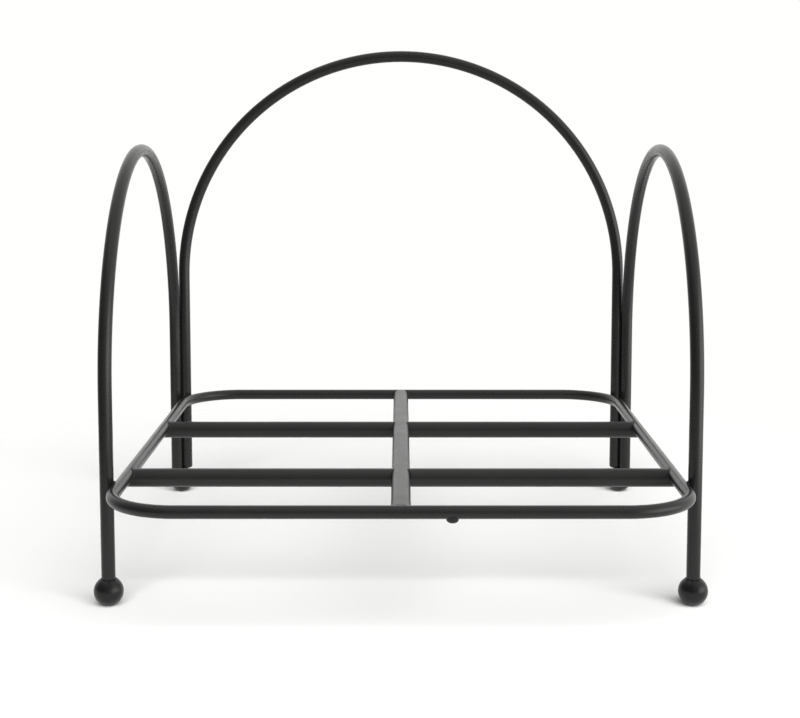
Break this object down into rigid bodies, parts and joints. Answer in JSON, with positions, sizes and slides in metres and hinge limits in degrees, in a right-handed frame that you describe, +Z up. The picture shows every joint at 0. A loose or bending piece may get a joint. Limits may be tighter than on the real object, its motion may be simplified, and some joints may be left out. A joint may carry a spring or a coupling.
{
  "type": "firewood log rack",
  "caption": "Open firewood rack of bent round tube: a tall back arch, two lower side arches, a rounded base loop with cross tubes and a spine, and ball feet.",
  "frame": {"origin": "on the floor, under the middle of the rack's overall box", "axes": "+Z up, +X to the right of a person who faces the open front, +Y from the open front to the back arch"},
  "size_m": [0.6158, 0.6246, 0.5717],
  "materials": {
    "arch_coat": "satin black powder coat",
    "rail_coat": "satin black powder coat",
    "slat_coat": "satin black powder coat",
    "foot_coat": "satin black powder coat on solid balls",
    "weld_coat": "powder coat over weld beads"
  },
  "bodies": {
    "root": {"left_side_arch": "arch_coat", "right_side_arch": "arch_coat", "back_arch": "arch_coat", "base_loop": "rail_coat", "centre_spine": "slat_coat", "front_slat_left": "slat_coat", "front_slat_right": "slat_coat", "rear_slat_left": "slat_coat", "rear_slat_right": "slat_coat", "front_left_ball_foot": "foot_coat", "front_right_ball_foot": "foot_coat", "rear_left_ball_foot": "foot_coat", "rear_right_ball_foot": "foot_coat", "vent_plug": "foot_coat", "weld_front_slat_left": "weld_coat", "weld_front_slat_right": "weld_coat", "weld_rear_slat_left": "weld_coat", "weld_rear_slat_right": "weld_coat", "weld_spine_front": "weld_coat", "weld_spine_rear": "weld_coat", "weld_front_crossing": "weld_coat", "weld_rear_crossing": "weld_coat", "weld_front_leg_left": "weld_coat", "weld_front_leg_right": "weld_coat", "weld_back_arch_leg_left": "weld_coat", "weld_back_arch_leg_right": "weld_coat", "weld_rear_legs_left": "weld_coat", "weld_rear_legs_right": "weld_coat", "weld_rear_foot_left": "weld_coat", "weld_rear_foot_right": "weld_coat"}
  },
  "joints": []
}
